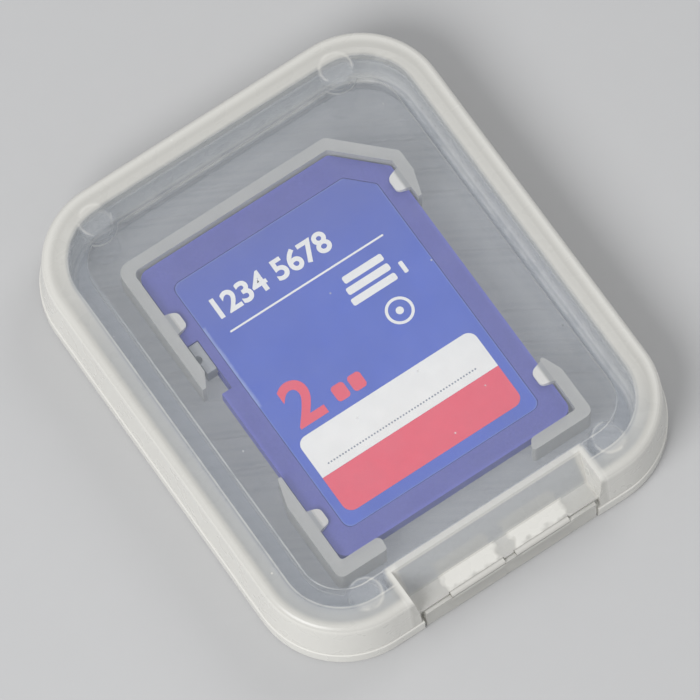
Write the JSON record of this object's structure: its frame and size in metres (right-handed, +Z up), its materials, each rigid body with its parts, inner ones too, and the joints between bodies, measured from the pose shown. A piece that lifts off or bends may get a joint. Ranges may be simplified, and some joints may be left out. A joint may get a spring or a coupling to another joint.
{
  "type": "memory card case",
  "caption": "Translucent hinged snap case that holds a flat memory card between moulded fences and catches.",
  "frame": {"origin": "middle of the case's underside, where it rests", "axes": "+Y from the hinge to the free edge, along the card's length; +Z up through the lid; +X to the right, seen from above with the hinge near"},
  "size_m": [0.0406, 0.0492, 0.0064],
  "materials": {
    "case_plastic": "translucent natural polypropylene, satin",
    "fold_plastic": "stress-whitened polypropylene at the folds and catches",
    "card_plastic": "dark blue moulded card shell",
    "card_film": "printed film: blue ground, white panel, red band",
    "board": "solder mask",
    "contact_gold": "gold plating",
    "chip": "moulded epoxy",
    "capacitor": "ceramic",
    "slider_plastic": "grey moulded slider"
  },
  "bodies": {
    "base": {"base_tray": "case_plastic", "card_fence_head": "case_plastic", "card_corner_left": "case_plastic", "card_corner_right": "case_plastic", "card_catches": "fold_plastic", "snap_ridges": "case_plastic", "card_back_shell": "card_plastic", "card_front_shell": "card_plastic", "card_label": "card_film", "card_board": "board", "card_contacts": "contact_gold", "card_memory_chip": "chip", "card_controller_chip": "chip", "card_capacitors": "capacitor"},
    "strap": {"hinge_strap": "case_plastic", "hinge_webs_lower": "fold_plastic", "hinge_webs_upper": "fold_plastic"},
    "lid": {"lid_shell": "case_plastic", "lid_border": "case_plastic"},
    "slider": {"card_lock_slider": "slider_plastic"}
  },
  "joints": [
    {"name": "strap_fold", "type": "hinge", "parent": "base", "child": "strap", "pos_m": [0, -0.0242, 0.0004], "axis": [1, 0, 0], "range_deg": [0, 90]},
    {"name": "lid_fold", "type": "hinge", "parent": "strap", "child": "lid", "pos_m": [0, -0.0242, 0.00322], "axis": [1, 0, 0], "range_deg": [0, 90]},
    {"name": "lock_slide", "type": "slide", "parent": "base", "child": "slider", "axis": [0, -1, 0], "range_m": [0, 0.0023]}
  ],
  "couplings": [
    {"joint": "strap_fold", "follows": "lid_fold", "ratio": 1}
  ]
}
